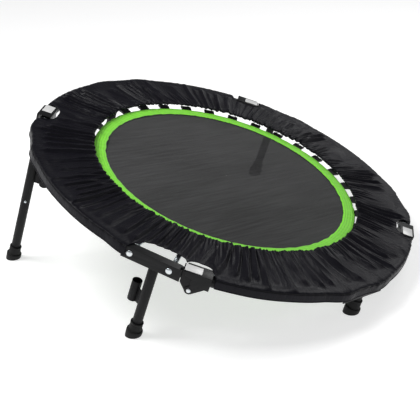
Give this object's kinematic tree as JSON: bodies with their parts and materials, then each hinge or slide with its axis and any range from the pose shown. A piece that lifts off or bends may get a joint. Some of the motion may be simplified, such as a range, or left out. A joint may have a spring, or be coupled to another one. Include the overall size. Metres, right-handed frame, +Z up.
{
  "type": "mini trampoline",
  "caption": "Round folding mini trampoline on short tubular legs, its sprung mat and pleated spring cover inclined; the ring folds in half downwards about two hinges.",
  "frame": {"origin": "on the floor, under the centre of the whole object's bounding box", "axes": "+X towards the low end of the inclined mat, +Z up, square to the floor; the leg at -Y carries a handlebar socket"},
  "size_m": [1.0004, 1.0028, 0.3616],
  "materials": {
    "frame": "satin black paint",
    "leg": "fine-textured black powder coat",
    "zinc": "bright zinc plating",
    "rubber": "matt moulded rubber",
    "mat": "woven polypropylene",
    "band": "lime green webbing with rows of stitching",
    "cover": "pleated black nylon"
  },
  "bodies": {
    "left_half": {"ring_tube_back_left": "frame", "ring_tube_front_left": "frame", "hinge_outer_leaf_back": "frame", "hinge_inner_leaf_front": "frame", "hinge_outer_leaf_left": "frame", "hinge_inner_leaf_left": "frame", "hinge_pin_left": "zinc", "hinge_pin_front": "zinc", "hinge_pin_back": "zinc", "leg_bracket_left_back": "frame", "leg_tube_left_back": "leg", "foot_boot_left_back": "rubber", "bracket_bolt_left_back_a": "zinc", "bracket_bolt_left_back_b": "zinc", "leg_bracket_left_front": "frame", "leg_tube_left_front": "leg", "foot_boot_left_front": "rubber", "bracket_bolt_left_front_a": "zinc", "bracket_bolt_left_front_b": "zinc", "leg_bracket_front": "frame", "leg_tube_front": "leg", "foot_boot_front": "rubber", "bracket_bolt_front_a": "zinc", "bracket_bolt_front_b": "zinc", "handle_socket_front": "leg", "handle_socket_left_front": "leg", "leg_snap_button_left_front": "zinc", "leg_snap_button_left_back": "zinc", "mat_left": "mat", "mat_band_left": "band", "spring_cover_left": "cover", "springs_back_left": "zinc", "springs_front_left": "zinc"},
    "right_half": {"ring_tube_back_right": "frame", "ring_tube_front_right": "frame", "hinge_inner_leaf_back": "frame", "hinge_outer_leaf_front": "frame", "hinge_outer_leaf_right": "frame", "hinge_inner_leaf_right": "frame", "hinge_pin_right": "zinc", "leg_bracket_right_front": "frame", "leg_tube_right_front": "leg", "foot_boot_right_front": "rubber", "bracket_bolt_right_front_a": "zinc", "bracket_bolt_right_front_b": "zinc", "leg_bracket_right_back": "frame", "leg_tube_right_back": "leg", "foot_boot_right_back": "rubber", "bracket_bolt_right_back_a": "zinc", "bracket_bolt_right_back_b": "zinc", "leg_bracket_back": "frame", "leg_tube_back": "leg", "foot_boot_back": "rubber", "bracket_bolt_back_a": "zinc", "bracket_bolt_back_b": "zinc", "mat_right": "mat", "mat_band_right": "band", "spring_cover_right": "cover", "springs_back_right": "zinc", "springs_front_right": "zinc"}
  },
  "joints": [
    {"name": "frame_fold", "type": "hinge", "parent": "left_half", "child": "right_half", "pos_m": [0.01187, 0, 0.16805], "axis": [-0.1653, 0.9848, 0.0531], "range_deg": [0, 110]}
  ]
}
